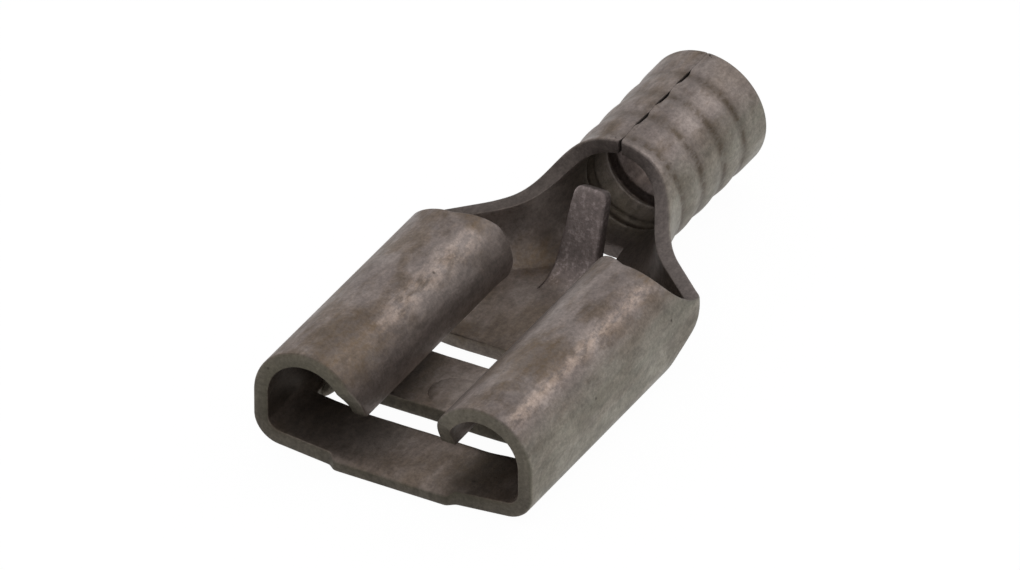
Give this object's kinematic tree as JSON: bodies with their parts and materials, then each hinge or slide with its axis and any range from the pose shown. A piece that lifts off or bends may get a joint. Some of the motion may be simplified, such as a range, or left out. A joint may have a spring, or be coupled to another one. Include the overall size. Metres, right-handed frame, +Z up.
{
  "type": "female spade terminal",
  "caption": "Folded sheet-metal female spade terminal: rolled-edge receptacle with a contact spring and stop tab, and a closed serrated wire barrel.",
  "frame": {"origin": "underside of the receptacle's floor, in the middle of the mouth", "axes": "+Y from the mouth along the terminal to the wire end, +Z up from the floor towards the rolls, +X to the right seen from the mouth"},
  "size_m": [0.0078, 0.016, 0.0034],
  "materials": {
    "plated_metal": "dull grey tin plate over brass, darkened and mottled brown by handling"
  },
  "bodies": {
    "root": {"terminal": "plated_metal"}
  },
  "joints": []
}
